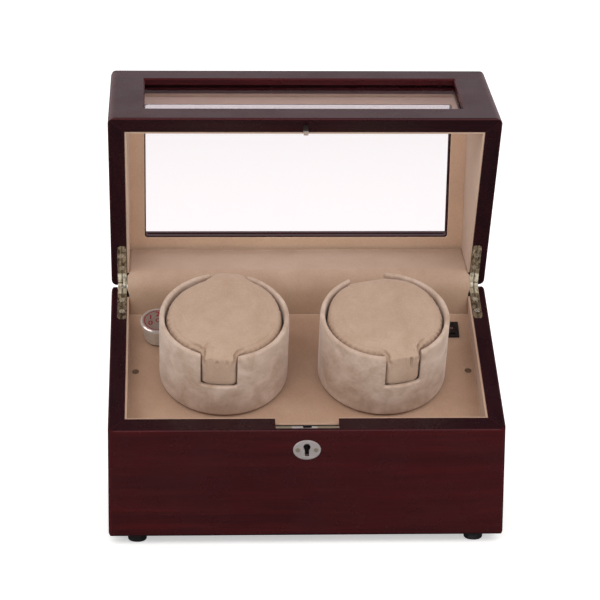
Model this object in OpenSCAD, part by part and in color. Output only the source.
// Two-place watch winder box: a wooden box cut on a slope, glazed lid hinged at the back,
// sloped deck with two powered cups that turn, mode knob, rocker switch and box lock.
// Millimetres. +X right, +Y back, +Z up. The box stands on its feet at z = 0 and the lid
// is drawn open. Dimensions inside lid modules are written for the closed box, then swung.

/* [Box] */
// Outer width
box_w = 270; // [220:1:320]
// Outer depth, front to back
box_d = 146.5; // [120:0.5:200]
// Height of the base at the front
base_front_h = 75.6; // [50:0.1:110]
// Height of the base at the back
base_back_h = 140.2; // [100:0.1:180]
// Height of the closed box above its feet
box_h = 193; // [160:1:240]
// Thickness of the wooden walls
wall_t = 11.2; // [8:0.1:16]
// Radius of the upright outer corners
corner_r = 5; // [2:0.5:8]
// Radius along the top outer edges of the lid
top_edge_r = 3.5; // [1:0.5:6]
// Radius along the bottom outer edges of the base
foot_edge_r = 2.5; // [1:0.5:4]
// Radius along the edges where lid and base meet
rim_edge_r = 1.2; // [0.5:0.1:2]
// Half of the gap left between lid and base when closed
rim_gap = 0.2; // [0.1:0.05:0.6]
// Angle the lid stands open
lid_open = 82.7; // [0:0.1:95]

/* [Windows] */
// Half width of both glazed openings
win_hw = 110.5; // [80:0.5:120]
// Front edge of the opening in the lid top
win_top_y0 = 23; // [18:0.5:40]
// Back edge of the opening in the lid top
win_top_y1 = 123.7; // [100:0.1:130]
// Lower edge of the opening in the lid front
win_front_z0 = 99.5; // [90:0.5:110]
// Upper edge of the opening in the lid front
win_front_z1 = 170.5; // [150:0.5:175]
// Depth from the outer face to the glass
glass_in = 4.6; // [3:0.1:7]
// Glass thickness
glass_t = 2.5; // [2:0.1:4]
// Width of the step that holds the glass
rebate_w = 5; // [3:0.5:8]

/* [Lining] */
// Thickness of the suede covered lining boards
lining_t = 1.6; // [1:0.1:3]
// Thickness of the deck board under its lining
deck_t = 4; // [3:0.5:8]
// Height of the deck surface at its back edge
deck_back_z = 121.8; // [100:0.1:135]
// Slope of the deck
deck_slope = 27.4; // [15:0.1:35]

/* [Rotors] */
// Distance of each cup axis from the middle
cup_x = 55.5; // [46:0.5:70]
// Place of the cup axes along the deck from its back edge, negative downhill
cup_s = -61.8; // [-80:0.1:-50]
// Outer radius of a cup
cup_r = 45; // [35:0.5:50]
// Wall of a cup
cup_wall = 3.8; // [2:0.1:6]
// Height of a cup rim above the deck
cup_top = 55.2; // [40:0.1:65]
// Gap under a cup
cup_gap = 1.5; // [1:0.1:4]
// Width of the notches in a cup
notch_w = 25; // [15:0.5:35]
// Height of the notch floor above the deck
notch_floor = 28.5; // [15:0.5:45]
// Resting turn of the left cup
turn_left = -5.7; // [-180:0.1:180]
// Resting turn of the right cup
turn_right = 14.3; // [-180:0.1:180]

/* [Controls] */
// Mode knob position across the deck
knob_x = -101; // [-115:0.5:-90]
// Mode knob place along the deck from its back edge, negative downhill
knob_s = -24.6; // [-40:0.1:-15]
// Mode knob top radius
knob_r = 12.8; // [8:0.1:16]
// Mode knob foot radius
knob_foot_r = 10.2; // [6:0.1:14]
// Height of the knob face above the deck, before its shallow recess
knob_h = 17; // [8:0.5:25]
// Rocker switch position across the deck
rocker_x = 103.4; // [90:0.1:112]
// Rocker switch place along the deck from its back edge, negative downhill
rocker_s = -18; // [-40:0.5:-10]
// Resting tilt of the rocker
rocker_tilt = 8; // [0:1:12]

/* [Fittings] */
// Distance of the hinge leaves from the middle, inner edge
leaf_x0 = 124; // [110:0.1:128]
// Distance of the hinge leaves from the middle, outer edge
leaf_x1 = 130.4; // [120:0.1:132]
// Length of a base hinge leaf
leaf_base_len = 38.8; // [25:0.5:60]
// Length of a lid hinge leaf
leaf_lid_len = 39.4; // [25:0.5:60]
// Half width of the lock
lock_hw = 21.5; // [12:0.5:30]
// Height of the escutcheon centre
esc_z = 61.6; // [40:0.1:70]
// Foot radius
foot_r = 6.5; // [4:0.5:12]
// Foot height
foot_h = 6; // [3:0.5:12]
// Distance of the feet from the middle
foot_x = 115.5; // [80:0.5:125]
// Distance of the feet from the front and back faces
foot_y = 12; // [8:0.5:30]

/* [Hidden] */
$fn = 64;
// small overlap that joins touching solids
eps = 0.01;
// reach of cutting shapes, well past the box
far = 300;
// the origin sits under the middle of the open box
origin_y = 98.9;
half_w = box_w / 2;
// slope and length of the plane where lid and base meet
rim_slope = atan((base_back_h - base_front_h) / box_d);
rim_len = box_d / cos(rim_slope);
// inner faces of the wood, then of the lining
inner_hw = half_w - wall_t;
inner_back_y = box_d - wall_t;
lid_inner_z = box_h - wall_t;
lined_hw = inner_hw - lining_t;
lined_front_y = wall_t + lining_t;
lined_back_y = inner_back_y - lining_t;
lined_top_z = lid_inner_z - lining_t;
// bottom panel
floor_t = 6;
floor_z = 1.5;
floor_top = floor_z + floor_t;
// where the mitre of two walls meets the rounded corner, kept to whole microns
mitre = round(corner_r * (1 - sqrt(0.5)) * 1000) / 1000;

// shared colours
wood = "#3a1419";
bead_wood = "#33141a";
suede = "#c8ab90";
batten_wood = "#a58a66";
brass = "#968764";
brass_screw = "#7d7052";
drive_metal = "#9a9a9c";
clear_glass = [0.9, 0.95, 0.95, 0.35];
cup_cover = "#cbb19c";
cushion_cover = "#cdb193";

// ---- outlines ----
// a span is a [low, high] pair
function both(reach) = [-reach, reach];
function rect(x, y) = [[x[0], y[0]], [x[1], y[0]], [x[1], y[1]], [x[0], y[1]]];
function arc(centre, radius, from, to, steps) = [
    for (i = [0:steps])
        let (angle = from + (to - from) * i / steps)
            centre + radius * [cos(angle), sin(angle)]];
function unit(v) = v / norm(v);

// a rounded corner, coming from one point and going to the next
function fillet(before, corner, after, radius, steps) = radius <= 0 ? [corner] :
    let (back = unit(before - corner),
        ahead = unit(after - corner),
        half = acos(back * ahead) / 2,
        centre = corner + unit(back + ahead) * radius / sin(half),
        start = corner + back * radius / tan(half) - centre,
        end = corner + ahead * radius / tan(half) - centre,
        from = atan2(start[1], start[0]),
        turn = atan2(end[1], end[0]) - from,
        short_turn = turn > 180 ? turn - 360 : turn < -180 ? turn + 360 : turn)
    arc(centre, radius, from, from + short_turn, steps);
function rounded(points, radii, steps) =
    let (count = len(points))
    [for (i = [0:count - 1]) each fillet(
        points[(i + count - 1) % count], points[i], points[(i + 1) % count], radii[i], steps)];

// ---- solids from spans ----
module slab(x, y, z) {
    translate([x[0], y[0], z[0]])
        cube([x[1] - x[0], y[1] - y[0], z[1] - z[0]]);
}
// a slab centred on the z axis
module block(width, depth, z) {
    slab(both(width / 2), both(depth / 2), z);
}
module rod(radius, z) {
    translate([0, 0, z[0]]) cylinder(h = z[1] - z[0], r = radius);
}
module rod_x(radius, x) {
    rotate([0, 90, 0]) rod(radius, x);
}
module rod_y(radius, y) {
    rotate([-90, 0, 0]) rod(radius, y);
}
module cone(low_r, high_r, z) {
    translate([0, 0, z[0]]) cylinder(h = z[1] - z[0], r1 = low_r, r2 = high_r);
}
// a side profile drawn as [y, z], run across the box
module across() {
    rotate([90, 0, 90]) linear_extrude(2 * far, center = true) children();
}
// a front profile drawn as [x, z], run front to back
module along() {
    rotate([90, 0, 0]) linear_extrude(2 * far, center = true) children();
}
// cutter for a crosshead slot
module cross_slot(length, width, bottom) {
    block(length, width, [bottom, bottom + 1]);
    block(width, length, [bottom, bottom + 1]);
}

// ---- places ----
// the sloped plane where lid and base meet: local y runs up the slope, local z off it
module rim_frame() {
    translate([0, 0, base_front_h]) rotate([rim_slope, 0, 0]) children();
}
// the deck surface: local y runs up the slope from the back edge, local z off it
module deck_frame() {
    translate([0, lined_back_y, deck_back_z]) rotate([deck_slope, 0, 0]) children();
}
module base_place() {
    translate([0, -origin_y, foot_h]) children();
}
// swings the lid open about the back edge of the rim
module lid_place() {
    base_place() translate([0, box_d, base_back_h]) rotate([-lid_open, 0, 0])
        translate([0, -box_d, -base_back_h]) children();
}
module other_side() {
    mirror([1, 0, 0]) children();
}
module both_sides() {
    children();
    other_side() children();
}
module at_grid(xs, ys) {
    for (x = xs, y = ys) translate([x, y, 0]) children();
}
// keep what lies below or above a plane at some height off the rim plane
module under_rim(height) {
    intersection() {
        children();
        rim_frame() slab(both(far), both(far), [height - 2 * far, height]);
    }
}
module over_rim(height) {
    intersection() {
        children();
        rim_frame() slab(both(far), both(far), [height, height + 2 * far]);
    }
}

// ---- wooden walls ----
corner_x = half_w - corner_r;
corner_back_y = box_d - corner_r;

// wall plans end in mitres; each corner arc starts one eighth of a quarter turn past its mitre
module plan_front() {
    polygon(concat(
        [[-inner_hw, wall_t], [-half_w + mitre, mitre]],
        arc([-corner_x, corner_r], corner_r, 236.25, 270, 3),
        arc([corner_x, corner_r], corner_r, 270, 303.75, 3),
        [[half_w - mitre, mitre], [inner_hw, wall_t]]));
}
module plan_back() {
    translate([0, box_d]) mirror([0, 1]) plan_front();
}
module plan_right() {
    polygon(concat(
        [[inner_hw, wall_t], [half_w - mitre, mitre]],
        arc([corner_x, corner_r], corner_r, 326.25, 360, 3),
        arc([corner_x, corner_back_y], corner_r, 0, 33.75, 3),
        [[half_w - mitre, box_d - mitre], [inner_hw, inner_back_y]]));
}
module plan_left() {
    mirror([1, 0]) plan_right();
}
module plan_all() {
    polygon(concat(
        arc([-corner_x, corner_r], corner_r, 180, 270, 8),
        arc([corner_x, corner_r], corner_r, 270, 360, 8),
        arc([corner_x, corner_back_y], corner_r, 0, 90, 8),
        arc([-corner_x, corner_back_y], corner_r, 90, 180, 8)));
}

// a base wall over a plan, with its outer edges rounded
module base_wall() {
    rim_z = -rim_gap * cos(rim_slope);
    intersection() {
        linear_extrude(box_h) children();
        across() polygon(rounded(
            [[0, 0], [box_d, 0], [box_d, base_back_h - rim_gap], [0, base_front_h - rim_gap]],
            [foot_edge_r, foot_edge_r, rim_edge_r, rim_edge_r], 4));
        along() polygon(rounded(
            rect(both(half_w), [0, far]), [foot_edge_r, foot_edge_r, 0, 0], 4));
        rim_frame() along() polygon(rounded(
            rect(both(half_w), [-far, rim_z]), [0, 0, rim_edge_r, rim_edge_r], 3));
    }
}
// lid wood with its outer edges rounded
module lid_shape() {
    rim_z = rim_gap * cos(rim_slope);
    intersection() {
        children();
        across() polygon(rounded(
            [[0, base_front_h + rim_gap], [box_d, base_back_h + rim_gap],
                [box_d, box_h], [0, box_h]],
            [rim_edge_r, rim_edge_r, top_edge_r, top_edge_r], 5));
        along() polygon(rounded(
            rect(both(half_w), [-far, box_h]), [0, 0, top_edge_r, top_edge_r], 5));
        rim_frame() along() polygon(rounded(
            rect(both(half_w), [rim_z, far]), [rim_edge_r, rim_edge_r, 0, 0], 3));
    }
}
module lid_wall() {
    lid_shape() linear_extrude(lid_inner_z) children();
}

// room for both hinges, cut out of the walls around them
module hinge_room(length, bottom) {
    both_sides() rim_frame() {
        slab([-leaf_x1 - 0.1, -leaf_x0 + 0.1], [rim_len - length - 0.1, rim_len + 4.9],
            [bottom, bottom + 2.9]);
        translate([0, rim_len, 0]) rod_x(2.7, [-leaf_x1 - 0.2, -leaf_x0 + 0.2]);
    }
}
module base_hinge_room() {
    hinge_room(leaf_base_len, -1.9);
}
module lid_hinge_room() {
    hinge_room(leaf_lid_len, -1);
}
// the back edges between the hinges are set down for the lining that wraps over them
module back_rim_room(bottom) {
    rim_frame() slab(both(inner_hw),
        [inner_back_y - 3, box_d - 1.7] / cos(rim_slope), [bottom, bottom + 3]);
}

module base_front_panel() {
    color(wood) base_place() difference() {
        base_wall() plan_front();
        slab(both(lock_hw + 0.2), [1.9, wall_t + 1], [48, box_h]);
        keyhole([-1, 3]);
        at_pins() rod_y(pin_hole_r, [-1, 3]);
    }
}
module base_back_panel() {
    color(wood) base_place() difference() {
        base_wall() plan_back();
        back_rim_room(-1);
        base_hinge_room();
        base_leaf_holes();
        at_socket() rod_y(5, [-wall_t - 1, 1]);
    }
}
module base_side_panel() {
    difference() {
        base_wall() children();
        base_hinge_room();
        base_leaf_holes();
    }
}
module base_left_panel() {
    color(wood) base_place() base_side_panel() plan_left();
}
module base_right_panel() {
    color(wood) base_place() base_side_panel() plan_right();
}

// ---- bottom ----
foot_flat_r = 4.6;
foot_round = 1.8;

module at_bottom_screws() {
    translate([0, 0, floor_z])
        at_grid(both(inner_hw - 9), [lined_front_y + 7, lined_back_y - 7]) children();
}
module bottom_panel() {
    color("#6b5a48") base_place() difference() {
        slab(both(inner_hw - 0.1), [wall_t + 0.1, inner_back_y - 0.1], [floor_z, floor_top]);
        at_bottom_screws() {
            rod(1.6, [-1, 8]);
            cone(3.4, 1.6, [-eps, 1.8 - eps]);
        }
    }
}
module bottom_screws() {
    color("silver") base_place() at_bottom_screws() {
        cone(3.2, 1.5, [0, 1.6]);
        rod(1.5, [0, 6]);
    }
}
module feet() {
    color("#111111") base_place() at_grid(both(foot_x), [foot_y, box_d - foot_y])
        rotate_extrude() polygon(concat(
            [[0, 0], [0, -foot_h], [foot_flat_r, -foot_h]],
            arc([foot_r - foot_round, foot_round - foot_h], foot_round, -60, 0, 4),
            [[foot_r, 0]]));
}

// ---- base linings ----
module base_front_lining() {
    color(suede) base_place() difference() {
        under_rim(-0.5)
            slab(both(lined_hw), [wall_t, lined_front_y], [floor_top, box_h]);
        // room for the lock
        rim_frame() slab(both(lock_hw + 0.2), [0, 30], [-3.9, 6.1]);
    }
}
module base_back_lining() {
    color(suede) base_place() difference() {
        under_rim(-0.3) {
            slab(both(lined_hw), [lined_back_y, inner_back_y], [floor_top, box_h]);
            // strip wrapped over the back wall
            over_rim(-1)
                slab(both(lined_hw), [inner_back_y - 0.4, box_d - 1.9], [floor_top, box_h]);
        }
        at_socket() rod_y(5.2, [-wall_t - 4, 2 - wall_t]);
    }
}
module base_side_lining() {
    under_rim(-0.5) slab([lined_hw, inner_hw], [wall_t, inner_back_y], [floor_top, box_h]);
}
module base_left_lining() {
    color(suede) base_place() other_side() base_side_lining();
}
module base_right_lining() {
    color(suede) base_place() base_side_lining();
}

// ---- deck; heights are off the deck surface ----
deck_lining_t = 1;
deck_under = -deck_lining_t - deck_t;
batten_w = 8;
batten_h = 12;
deck_screw_x = 117.2;
deck_screw_s = -60;
deck_pilot_r = 1.3;
deck_head_r = 2.6;

module at_deck_screws() {
    deck_frame() at_grid(both(deck_screw_x), [deck_screw_s]) children();
}
// a sloped layer trimmed upright, short of the front and back linings by a gap
module deck_layer(x, gap, z) {
    intersection() {
        slab(x, [lined_front_y + gap, lined_back_y - gap], [0, box_h]);
        deck_frame() slab(both(far), both(far), z);
    }
}
module deck_openings(screw_hole_r) {
    deck_frame() {
        at_grid(both(cup_x), [cup_s]) rod(6, both(10));
        translate([knob_x, knob_s, 0]) rod(4.6, both(10));
        translate([rocker_x, rocker_s, 0]) block(19.2, 13.2, both(10));
    }
    at_deck_screws() rod(screw_hole_r, both(10));
}
module deck_board() {
    color("#8a7459") base_place() difference() {
        deck_layer(both(lined_hw - 0.2), 0.2, [deck_under, -deck_lining_t]);
        deck_openings(deck_pilot_r);
    }
}
module deck_lining() {
    color("#bb9c82") base_place() difference() {
        deck_layer(both(lined_hw - 0.1), 0.1, [-deck_lining_t, 0]);
        deck_openings(deck_head_r + 0.1);
    }
}
module deck_screws() {
    color("#6b5a45") base_place() at_deck_screws() {
        difference() {
            rod(deck_head_r, [-1, -0.2]);
            cross_slot(length = 3.2, width = 0.6, bottom = -0.6);
        }
        rod(1.25, [-13, eps - 1]);
    }
}
// the batten on the right, under the deck board
module batten() {
    difference() {
        deck_layer([lined_hw - batten_w, lined_hw], 2, [deck_under - batten_h, deck_under]);
        at_deck_screws() rod(deck_pilot_r, [-14, 6]);
    }
}
module deck_batten_left() {
    color(batten_wood) base_place() other_side() batten();
}
module deck_batten_right() {
    color(batten_wood) base_place() batten();
}

// ---- lock ----
// hook distance from the front face, then measured up the rim slope
hook_y = 6.8;
hook_s = hook_y / cos(rim_slope);
// bolt axis off the rim plane, and bolt radius
bolt_z = -5.6;
bolt_r = 0.8;
lock_bottom = 48.3;
// escutcheon: sideways offset, half axes and the inset of its raised face
esc_x = -0.4;
esc_hw = 9.4;
esc_hh = 6.85;
esc_inset = 0.5;
// escutcheon pins on both sides of its centre
pin_x = 6.2;
pin_r = 0.6;
pin_hole_r = 0.65;

module keyhole(y) {
    translate([esc_x, y[1], 0]) rotate([90, 0, 0]) linear_extrude(y[1] - y[0])
        polygon(concat(
            arc([0, esc_z + 2], 2.45, -52, 232, 24),
            [[-1.5, esc_z - 4.3], [1.5, esc_z - 4.3]]));
}
module at_pins() {
    translate([esc_x, 0, esc_z]) at_grid(both(pin_x), [0]) children();
}
module at_hook() {
    rim_frame() translate([0, hook_s, 0]) children();
}
module at_bolt() {
    at_hook() translate([0, 0, bolt_z]) children();
}
module lock_case() {
    color("#6f6a66") base_place() difference() {
        under_rim(-4.3) slab(both(lock_hw), [4, wall_t - 0.2], [lock_bottom, box_h]);
        at_hook() slab(both(2.9), [-2.2, 1.75], [-10, 2]);
        at_bolt() rod_x(bolt_r + 0.06, [-9, 15]);
        keyhole([3, 8]);
    }
}
module lock_plate() {
    color("#c9c2be") base_place() difference() {
        under_rim(-0.3) slab(both(lock_hw), [2, 3.9], [lock_bottom, box_h]);
        rim_frame() slab(both(3), [2.45, 14.45], [-2.4, 3.6]);
        keyhole([1, 6]);
    }
}
module lock_bolt() {
    color("#8f8a86") base_place() at_bolt() rod_x(bolt_r, [3, 12]);
}
module oval_plate(inset, thickness) {
    linear_extrude(thickness) polygon([
        for (i = [0:59]) [(esc_hw - inset) * cos(i * 6), (esc_hh - inset) * sin(i * 6)]]);
}
module escutcheon() {
    color("#b3aaa7") base_place() difference() {
        translate([esc_x, 0, esc_z]) rotate([90, 0, 0]) {
            oval_plate(inset = 0, thickness = 0.5);
            oval_plate(inset = esc_inset, thickness = 0.8);
        }
        keyhole([-2, 1]);
        at_pins() rod_y(pin_hole_r, [-2, 2]);
    }
}
module escutcheon_pins() {
    color("#a39a90") base_place() at_pins() {
        rod_y(pin_r, [-1.1, 1.7]);
        rod_y(1.5, [-1.1, -0.8]);
    }
}
// a flat tongue with a cross bore, and a round stem into the lid
module lid_hook() {
    color("#b09a6a") lid_place() at_hook() difference() {
        union() {
            block(3.2, 2.8, [-7.2, 0.1]);
            rod(1.35, [-0.5, 7]);
        }
        translate([0, 0, bolt_z]) rod_x(0.95, both(3));
    }
}

// ---- hinges; drawn for the left side of the base, below the rim plane ----
leaf_w = leaf_x1 - leaf_x0;
leaf_mid_x = (leaf_x0 + leaf_x1) / 2;
leaf_t = 1.6;
// distance of a leaf from the rim plane
leaf_gap = 0.15;
leaf_z = [-leaf_gap - leaf_t, -leaf_gap];
knuckle_r = 2.2;
hinge_pin_r = 0.9;
leaf_pilot_r = 1.4;
// screw distances from the hinge axis, down the slope
base_screw_s = [16.5, 29.5];
lid_screw_s = [17.5, 29.5];

module at_leaf_screws(distances) {
    rim_frame() at_grid(both(leaf_mid_x), [for (s = distances) rim_len - s]) children();
}
module base_leaf_holes() {
    at_leaf_screws(base_screw_s) rod(leaf_pilot_r, [-12, 2]);
}
module lid_leaf_holes() {
    at_leaf_screws(lid_screw_s) rod(leaf_pilot_r, [-2, 12]);
}
// arm_x is the leaf's share of the knuckle
module leaf(length, arm_x, screw_s, bore_r) {
    round_y = rim_len - length + leaf_w / 2;
    difference() {
        union() {
            slab([-leaf_x1, -leaf_x0], [round_y, rim_len - 3], leaf_z);
            // rounded front end
            translate([-leaf_mid_x, round_y, 0]) rod(leaf_w / 2 - 0.001, leaf_z);
            slab(arm_x, [rim_len - 4, rim_len - 0.6], leaf_z);
            translate([0, rim_len, 0]) rod_x(knuckle_r, arm_x);
        }
        translate([0, rim_len, 0]) rod_x(bore_r, [-leaf_x1 - 1, -leaf_x0 + 1]);
        // groove down the middle of the leaf
        translate([-leaf_mid_x, 0, 0])
            slab(both(0.45), [rim_len - 13.6, rim_len - 3.7], [-0.6, -0.1]);
        for (s = screw_s) translate([-leaf_mid_x, rim_len - s, 0]) {
            rod(1.05, both(3));
            cone(1.05, 2.3, [-1.2, 0]);
        }
    }
}
module base_leaf() {
    rim_frame()
        leaf(leaf_base_len, [-leaf_x1, -leaf_mid_x - 0.1], base_screw_s, hinge_pin_r);
}
module lid_leaf() {
    rim_frame() mirror([0, 0, 1])
        leaf(leaf_lid_len, [-leaf_mid_x + 0.1, -leaf_x0], lid_screw_s, hinge_pin_r + 0.05);
}
module leaf_screw() {
    difference() {
        cone(1, 2, [-1.25, -0.2]);
        cross_slot(length = 2.6, width = 0.4, bottom = -0.55);
    }
    rod(0.95, [-10, -1.2]);
}
module hinge_base_leaf_left() {
    color(brass) base_place() base_leaf();
}
module hinge_base_leaf_right() {
    color(brass) base_place() other_side() base_leaf();
}
module hinge_lid_leaf_left() {
    color(brass) lid_place() lid_leaf();
}
module hinge_lid_leaf_right() {
    color(brass) lid_place() other_side() lid_leaf();
}
module hinge_pins() {
    color("#d8cfb4") base_place() rim_frame() both_sides()
        translate([0, rim_len, 0]) rod_x(hinge_pin_r, [-leaf_x1, -leaf_x0]);
}
module hinge_base_screws() {
    color(brass_screw) base_place() at_leaf_screws(base_screw_s) leaf_screw();
}
module hinge_lid_screws() {
    color(brass_screw) lid_place() at_leaf_screws(lid_screw_s) mirror([0, 0, 1]) leaf_screw();
}

// ---- drives and electrics, under the deck ----
motor_r = 19;
motor_h = 22;
motor_tail_r = 12;
motor_tail_h = 20;
// screws on both sides of the motor axis, through its ears
motor_screw_x = 22.5;
ear_t = 3;
shaft_r = 3;
// control board: place, half sizes and hole distances from its middle
board_y = 106;
board_hw = 28;
board_hd = 19;
board_hole_x = 24;
board_hole_y = 15;
board_t = 1.6;
spacer_h = 5;
// power socket in the back wall
socket_x = 88;
socket_z = 26;

module gearmotor(x) {
    deck_frame() translate([x, cup_s, deck_under]) difference() {
        union() {
            rod(motor_r, [-motor_h, 0]);
            rod(5.6, [0, 3.6]);
            rod(motor_tail_r, [-motor_h - motor_tail_h, eps - motor_h]);
            block(52, 10, [-ear_t, 0]);
        }
        rod(shaft_r + 0.05, [-16, 6]);
        at_grid(both(motor_screw_x), [0]) rod(1.6, [-5, 3]);
    }
}
module gearmotor_left() {
    color(drive_metal) base_place() gearmotor(-cup_x);
}
module gearmotor_right() {
    color(drive_metal) base_place() gearmotor(cup_x);
}
module motor_screws() {
    color("silver") base_place() deck_frame() translate([0, 0, deck_under - ear_t])
        at_grid(both(cup_x), [cup_s]) at_grid(both(motor_screw_x), [0]) {
            rod(2.8, [-1.8, 0]);
            rod(1.5, [-eps, 3 - eps]);
        }
}
// a drilled board carrying three blocks and a round can
module control_board() {
    low = board_t - eps;
    color("#1f5a3a") base_place() translate([0, board_y, floor_top + spacer_h]) {
        difference() {
            slab(both(board_hw), both(board_hd), [0, board_t]);
            at_grid(both(board_hole_x), both(board_hole_y)) rod(1.4, [-1, 3]);
        }
        slab([-10, 2], [-6, 6], [low, 4.4]);
        slab([10, 19], [-14, -6], [low, 7.6]);
        slab([-22, -13], [4, 10], [low, 8.6]);
        translate([13, 8, 0]) rod(4, [low, low + 9]);
    }
}
module board_spacers() {
    color("#dddddd") base_place() translate([0, board_y, floor_top])
        at_grid(both(board_hole_x), both(board_hole_y)) {
            rod(2.6, [0, spacer_h]);
            rod(1.35, [0, 8]);
        }
}
module at_socket() {
    translate([socket_x, box_d, socket_z]) children();
}
module dc_socket() {
    color("#161616") base_place() at_socket() difference() {
        union() {
            rod_y(6.6, [0, 1.6]);
            rod_y(4.9, [-wall_t - 3, eps]);
        }
        rod_y(2.9, [-8.4, 2.6]);
    }
}
module rotary_switch() {
    color("#3f3f42") base_place() deck_frame() translate([knob_x, knob_s, 0]) difference() {
        union() {
            block(18, 18, [-17, -5]);
            rod(4.5, [-5 - eps, -eps]);
        }
        rod(3, [-14, 6]);
    }
}
module rocker_housing() {
    color("#151515") base_place() deck_frame() translate([rocker_x, rocker_s, 0]) difference() {
        union() {
            block(21, 15, [0, 1.8]);
            block(19, 13, [-16, eps]);
        }
        block(17.4, 11, [-8, 4]);
        // pivot bore
        translate([0, 0, -1]) rod_y(1.05, both(6.6));
    }
}

// ---- lid panels ----
// width of the 45 degree bevel around the outer edges of the openings
bevel = 1;

// spans of the glazed openings, grown on all sides
function win_x(grow) = both(win_hw + grow);
function win_top_y(grow) = [win_top_y0 - grow, win_top_y1 + grow];
function win_front_z(grow) = [win_front_z0 - grow, win_front_z1 + grow];
// bevel profile over a span, cut past the face so that it opens cleanly
function flare(span, narrow, wide) = [
    [span[0], narrow], [span[1], narrow],
    [span[1] + 2 * bevel, wide], [span[0] - 2 * bevel, wide]];
function swap(points) = [for (point = points) [point[1], point[0]]];

module lid_front_panel() {
    color(wood) lid_place() difference() {
        lid_wall() plan_front();
        slab(win_x(0), [-1, wall_t + 1], win_front_z(0));
        slab(win_x(rebate_w), [glass_in, wall_t + 1], win_front_z(rebate_w));
        intersection() {
            linear_extrude(box_h) polygon(flare(win_x(0), bevel, -bevel));
            across() polygon(swap(flare(win_front_z(0), bevel, -bevel)));
        }
        at_hook() rod(1.4, [-1, 7.05]);
    }
}
module lid_back_panel() {
    color(wood) lid_place() difference() {
        lid_wall() plan_back();
        back_rim_room(-2);
        lid_hinge_room();
    }
}
module lid_side_panel() {
    difference() {
        lid_wall() children();
        lid_hinge_room();
        lid_leaf_holes();
    }
}
module lid_left_panel() {
    color(wood) lid_place() lid_side_panel() plan_left();
}
module lid_right_panel() {
    color(wood) lid_place() lid_side_panel() plan_right();
}
module lid_top_panel() {
    color(wood) lid_place() difference() {
        lid_shape() translate([0, 0, lid_inner_z]) linear_extrude(wall_t) plan_all();
        slab(win_x(0), win_top_y(0), [lid_inner_z - 1, box_h + 1]);
        slab(win_x(rebate_w), win_top_y(rebate_w), [lid_inner_z - 1, box_h - glass_in]);
        intersection() {
            along() polygon(flare(win_x(0), box_h - bevel, box_h + bevel));
            across() polygon(flare(win_top_y(0), box_h - bevel, box_h + bevel));
        }
    }
}

// ---- glazing ----
glass_fit = rebate_w - 0.4;
bead_fit = rebate_w - 0.1;
glass_under_z = box_h - glass_in - glass_t;

// cutters for openings with softly rounded corners
module soft_outline(x, y) {
    polygon(rounded(rect(x, y), [2, 2, 2, 2], 4));
}
module top_hole(grow, z) {
    translate([0, 0, z[0]]) linear_extrude(z[1] - z[0])
        soft_outline(win_x(grow), win_top_y(grow));
}
module front_hole(grow, y) {
    translate([0, y[1], 0]) rotate([90, 0, 0]) linear_extrude(y[1] - y[0])
        soft_outline(win_x(grow), win_front_z(grow));
}
module front_glass() {
    color(clear_glass) lid_place()
        slab(win_x(glass_fit), [glass_in, glass_in + glass_t], win_front_z(glass_fit));
}
module top_glass() {
    color(clear_glass) lid_place()
        slab(win_x(glass_fit), win_top_y(glass_fit), [glass_under_z, box_h - glass_in]);
}
module front_glass_bead() {
    color(bead_wood) lid_place() difference() {
        slab(win_x(bead_fit), [glass_in + glass_t, wall_t], win_front_z(bead_fit));
        front_hole(0, [0, wall_t + 1]);
    }
}
module top_glass_bead() {
    color(bead_wood) lid_place() difference() {
        slab(win_x(bead_fit), win_top_y(bead_fit), [lid_inner_z, glass_under_z]);
        top_hole(0, [lid_inner_z - 1, box_h]);
    }
}

// ---- lid linings ----
// how far the linings stand back from the openings
lining_back = 0.8;

module lid_top_lining() {
    color(suede) lid_place() difference() {
        slab(both(inner_hw), [wall_t, inner_back_y], [lined_top_z, lid_inner_z]);
        top_hole(lining_back, [lid_inner_z - 3, lid_inner_z + 1]);
    }
}
module lid_front_lining() {
    color(suede) lid_place() difference() {
        over_rim(0.5) slab(both(lined_hw), [wall_t, lined_front_y], [0, lined_top_z]);
        front_hole(lining_back, [wall_t - 1, wall_t + 4]);
    }
}
module lid_back_lining() {
    color(suede) lid_place() over_rim(0.3) {
        slab(both(lined_hw), [lined_back_y, inner_back_y], [0, lined_top_z]);
        // strip wrapped under the back wall, and the narrow one that joins it on
        under_rim(1) {
            slab(both(lined_hw + 1), [inner_back_y + 0.2, box_d - 2.8], [0, box_h]);
            slab(both(lined_hw), [inner_back_y - 0.4, inner_back_y + 0.4], [0, box_h]);
        }
    }
}
module lid_side_lining() {
    over_rim(0.5) slab([lined_hw, inner_hw], [wall_t, inner_back_y], [0, lined_top_z]);
}
module lid_left_lining() {
    color(suede) lid_place() other_side() lid_side_lining();
}
module lid_right_lining() {
    color(suede) lid_place() lid_side_lining();
}

// ---- cups and cushions ----
cup_inner_r = cup_r - cup_wall;
cup_inner_floor = cup_gap + 3;
cup_bore_r = 3.4;
cup_foot_round = 1.5;
cup_rim_round = 1.7;
cup_rim_z = cup_top - cup_rim_round;
cushion_bottom = cup_gap + 7;
cushion_foot_round = 5;
cushion_tab_hw = 11.6;

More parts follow.
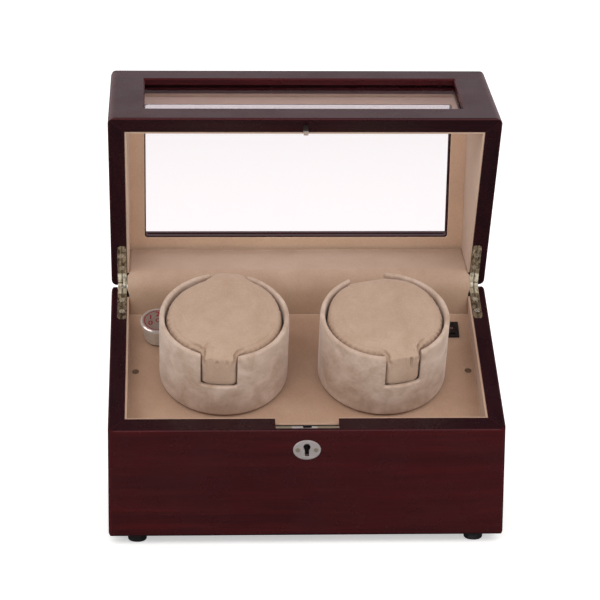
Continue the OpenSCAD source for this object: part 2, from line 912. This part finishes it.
module at_cup(x, turn) {
    deck_frame() translate([x, cup_s, 0]) rotate([0, 0, turn]) children();
}
module cup() {
    difference() {
        rotate_extrude($fn = 96) polygon(concat(
            [[cup_bore_r, cup_gap]],
            arc([cup_r - cup_foot_round, cup_gap + cup_foot_round], cup_foot_round, -90, 0, 5),
            arc([cup_r - cup_rim_round, cup_rim_z], cup_rim_round, 0, 90, 6),
            arc([cup_inner_r + cup_rim_round, cup_rim_z], cup_rim_round, 90, 180, 6),
            [[cup_inner_r, cup_inner_floor], [cup_bore_r, cup_inner_floor]]));
        block(notch_w, 2 * cup_r + 10, [notch_floor, notch_floor + 60]);
    }
}
// a flange on the cup floor and a shaft down into the motor
module rotor_hub(x) {
    at_cup(x, 0) {
        rod(16, [cup_inner_floor, cup_inner_floor + 3]);
        rod(shaft_r, [-19, cup_inner_floor + eps]);
    }
}
// a thick round pad with a narrower tab reaching into each notch
module cushion(back_reach) {
    rotate_extrude($fn = 72) polygon(concat(
        [[0, cushion_bottom]],
        arc([34.5, cushion_bottom + cushion_foot_round], cushion_foot_round, -90, 0, 4),
        arc([35.3, cup_top - 6.2], 4.2, 0, 78, 6),
        [[0, cup_top + 1.4]]));
    difference() {
        slab(both(cushion_tab_hw), [-43.6, back_reach], [notch_floor + 1.2, cup_top - 3.5]);
        // ring that rounds off the tab ends
        translate([0, 0, notch_floor]) difference() {
            rod(60, [0, 40]);
            rod(43.4, [-1, 41]);
        }
    }
}
module rotor_hub_left() {
    color(drive_metal) base_place() rotor_hub(-cup_x);
}
module rotor_hub_right() {
    color(drive_metal) base_place() rotor_hub(cup_x);
}
module cup_left() {
    color(cup_cover) base_place() at_cup(-cup_x, turn_left) cup();
}
module cup_right() {
    color(cup_cover) base_place() at_cup(cup_x, turn_right) cup();
}
module cushion_left() {
    color(cushion_cover) base_place() at_cup(-cup_x, turn_left) cushion(back_reach = 42.8);
}
module cushion_right() {
    color(cushion_cover) base_place() at_cup(cup_x, turn_right) cushion(back_reach = 39.5);
}

// ---- controls ----
module mode_knob() {
    face_z = knob_h - 0.4;
    color("#a9a8a8") base_place() deck_frame() translate([knob_x, knob_s, 0]) {
        // half profile as [radius, height]
        rotate_extrude() polygon([
            [0, 1], [knob_foot_r - 0.6, 1], [knob_foot_r, 1.6],
            [knob_r - 0.9, knob_h - 2.6], [knob_r, knob_h - 2.2], [knob_r, knob_h - 0.7],
            [knob_r - 0.7, knob_h], [knob_r - 1.8, knob_h],
            [knob_r - 2, face_z], [0, face_z]]);
        rod(2.95, [-12, 1 + eps]);
    }
}
// a key with a dished top on a cross pivot
module rocker() {
    color("#0e0e0e") base_place() deck_frame() translate([rocker_x, rocker_s, -1])
        rotate([0, rocker_tilt, 0]) {
            translate([0, 5.2, 0]) rotate([90, 0, 0]) linear_extrude(10.4) polygon(concat(
                [[-8, -2.5], [8, -2.5], [8.1, 4.4]],
                [for (i = [0:8]) [7.6 - i * 1.9, 4.7 - 1.1 * sin(i * 22.5)]],
                [[-8.1, 4.4]]));
            rod_y(1, both(6.4));
        }
}

base_front_panel();
base_back_panel();
base_left_panel();
base_right_panel();
bottom_panel();
bottom_screws();
feet();
base_front_lining();
base_back_lining();
base_left_lining();
base_right_lining();
deck_board();
deck_lining();
deck_screws();
deck_batten_left();
deck_batten_right();
lock_case();
lock_plate();
escutcheon();
escutcheon_pins();
hinge_base_leaf_left();
hinge_base_leaf_right();
hinge_pins();
hinge_base_screws();
gearmotor_left();
gearmotor_right();
motor_screws();
control_board();
board_spacers();
dc_socket();
rotary_switch();
rocker_housing();
lid_front_panel();
lid_back_panel();
lid_left_panel();
lid_right_panel();
lid_top_panel();
front_glass();
top_glass();
front_glass_bead();
top_glass_bead();
lid_top_lining();
lid_front_lining();
lid_back_lining();
lid_left_lining();
lid_right_lining();
lid_hook();
hinge_lid_leaf_left();
hinge_lid_leaf_right();
hinge_lid_screws();
rotor_hub_left();
rotor_hub_right();
cup_left();
cup_right();
cushion_left();
cushion_right();
mode_knob();
rocker();
lock_bolt();
